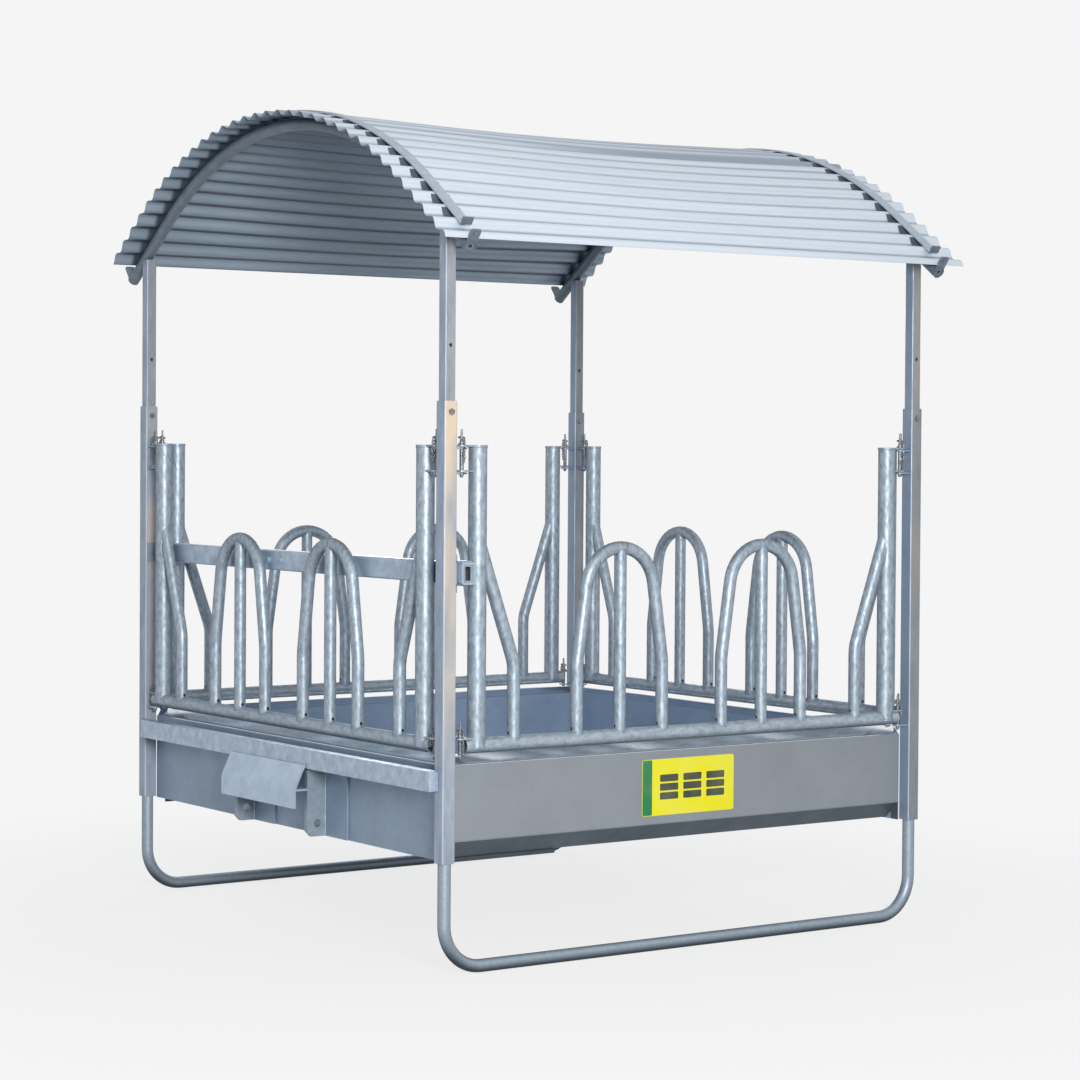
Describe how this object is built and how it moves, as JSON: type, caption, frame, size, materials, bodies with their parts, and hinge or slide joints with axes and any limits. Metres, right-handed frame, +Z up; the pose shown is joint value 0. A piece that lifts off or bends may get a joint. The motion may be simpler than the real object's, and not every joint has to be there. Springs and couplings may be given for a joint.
{
  "type": "covered square bale feeder",
  "caption": "Square livestock feeder for big bales: steel tub on two skids, hinged tombstone gates on every side and a height-adjustable corrugated barrel roof.",
  "frame": {"origin": "on the ground under the middle of the roof, at the centre of the bounding box's base", "axes": "+Z up; the plain long front of the tub faces -Y; the side with the hitch faces -X"},
  "size_m": [2.21, 2.3242, 2.8298],
  "materials": {
    "galvanised_square_tube": "hot-dip galvanised, dull, faint spangle",
    "galvanised_round_tube": "hot-dip galvanised, satin with spangle",
    "galvanised_tub_sheet": "galvanised sheet, dull",
    "galvanised_roof_sheet": "galvanised corrugated sheet, satin",
    "galvanised_plate": "hot-dip galvanised, mottled",
    "zinc_plated_pin": "zinc plated, satin"
  },
  "bodies": {
    "base": {"corner_post_front_left": "galvanised_square_tube", "corner_post_front_right": "galvanised_square_tube", "corner_post_rear_left": "galvanised_square_tube", "corner_post_rear_right": "galvanised_square_tube", "skid_front": "galvanised_round_tube", "skid_rear": "galvanised_round_tube", "tub_pan": "galvanised_tub_sheet", "tub_end_left": "galvanised_tub_sheet", "tub_end_right": "galvanised_tub_sheet", "floor_sole_plate": "galvanised_tub_sheet", "hitch_beam": "galvanised_plate", "hitch_hood": "galvanised_plate", "hitch_lug_front": "galvanised_plate", "hitch_lug_rear": "galvanised_plate", "top_rail": "galvanised_plate", "rail_clamp_front": "galvanised_plate", "rail_clamp_rear": "galvanised_plate", "height_bolt_front_left": "zinc_plated_pin", "height_bolt_front_right": "zinc_plated_pin", "height_bolt_rear_left": "zinc_plated_pin", "height_bolt_rear_right": "zinc_plated_pin", "hinge_pin_front_upper": "zinc_plated_pin", "hinge_pin_front_lower": "zinc_plated_pin", "hinge_pin_rear_upper": "zinc_plated_pin", "hinge_pin_rear_lower": "zinc_plated_pin", "hinge_pin_left_upper": "zinc_plated_pin", "hinge_pin_left_lower": "zinc_plated_pin", "hinge_pin_right_upper": "zinc_plated_pin", "hinge_pin_right_lower": "zinc_plated_pin"},
    "roof": {"roof_post_front_left": "galvanised_square_tube", "roof_post_front_right": "galvanised_square_tube", "roof_post_rear_left": "galvanised_square_tube", "roof_post_rear_right": "galvanised_square_tube", "roof_rib_left": "galvanised_roof_sheet", "roof_rib_right": "galvanised_roof_sheet", "roof_sheet_front": "galvanised_roof_sheet", "roof_sheet_top": "galvanised_roof_sheet", "roof_sheet_rear": "galvanised_roof_sheet", "roof_strap_left": "galvanised_roof_sheet", "roof_strap_right": "galvanised_roof_sheet"},
    "gate_front": {"gate_front_frame": "galvanised_round_tube", "gate_front_arch_a": "galvanised_round_tube", "gate_front_arch_b": "galvanised_round_tube"},
    "gate_rear": {"gate_rear_frame": "galvanised_round_tube", "gate_rear_arch_a": "galvanised_round_tube", "gate_rear_arch_b": "galvanised_round_tube"},
    "gate_left": {"gate_left_frame": "galvanised_round_tube", "gate_left_arch_a": "galvanised_round_tube", "gate_left_arch_b": "galvanised_round_tube"},
    "gate_right": {"gate_right_frame": "galvanised_round_tube", "gate_right_arch_a": "galvanised_round_tube", "gate_right_arch_b": "galvanised_round_tube"},
    "latch_front_upper": {"latch_pin_front_upper": "zinc_plated_pin"},
    "latch_front_lower": {"latch_pin_front_lower": "zinc_plated_pin"},
    "latch_rear_upper": {"latch_pin_rear_upper": "zinc_plated_pin"},
    "latch_rear_lower": {"latch_pin_rear_lower": "zinc_plated_pin"},
    "latch_left_upper": {"latch_pin_left_upper": "zinc_plated_pin"},
    "latch_left_lower": {"latch_pin_left_lower": "zinc_plated_pin"},
    "latch_right_upper": {"latch_pin_right_upper": "zinc_plated_pin"},
    "latch_right_lower": {"latch_pin_right_lower": "zinc_plated_pin"}
  },
  "joints": [
    {"name": "roof_height", "type": "slide", "parent": "base", "child": "roof", "axis": [0, 0, 1], "range_m": [-0.35, 0.21]},
    {"name": "gate_front_swing", "type": "hinge", "parent": "base", "child": "gate_front", "pos_m": [0.9425, -1, 1.2], "axis": [0, 0, 1], "range_deg": [0, 100]},
    {"name": "gate_rear_swing", "type": "hinge", "parent": "base", "child": "gate_rear", "pos_m": [0.9425, 1, 1.2], "axis": [0, 0, -1], "range_deg": [0, 100]},
    {"name": "gate_left_swing", "type": "hinge", "parent": "base", "child": "gate_left", "pos_m": [-1, 0.9425, 1.2], "axis": [0, 0, -1], "range_deg": [0, 100]},
    {"name": "gate_right_swing", "type": "hinge", "parent": "base", "child": "gate_right", "pos_m": [1, 0.9425, 1.2], "axis": [0, 0, 1], "range_deg": [0, 100]},
    {"name": "latch_front_upper_lift", "type": "slide", "parent": "gate_front", "child": "latch_front_upper", "axis": [0, 0, 1], "range_m": [0, 0.1]},
    {"name": "latch_front_lower_lift", "type": "slide", "parent": "gate_front", "child": "latch_front_lower", "axis": [0, 0, 1], "range_m": [0, 0.1]},
    {"name": "latch_rear_upper_lift", "type": "slide", "parent": "gate_rear", "child": "latch_rear_upper", "axis": [0, 0, 1], "range_m": [0, 0.1]},
    {"name": "latch_rear_lower_lift", "type": "slide", "parent": "gate_rear", "child": "latch_rear_lower", "axis": [0, 0, 1], "range_m": [0, 0.1]},
    {"name": "latch_left_upper_lift", "type": "slide", "parent": "gate_left", "child": "latch_left_upper", "axis": [0, 0, 1], "range_m": [0, 0.1]},
    {"name": "latch_left_lower_lift", "type": "slide", "parent": "gate_left", "child": "latch_left_lower", "axis": [0, 0, 1], "range_m": [0, 0.1]},
    {"name": "latch_right_upper_lift", "type": "slide", "parent": "gate_right", "child": "latch_right_upper", "axis": [0, 0, 1], "range_m": [0, 0.1]},
    {"name": "latch_right_lower_lift", "type": "slide", "parent": "gate_right", "child": "latch_right_lower", "axis": [0, 0, 1], "range_m": [0, 0.1]}
  ]
}
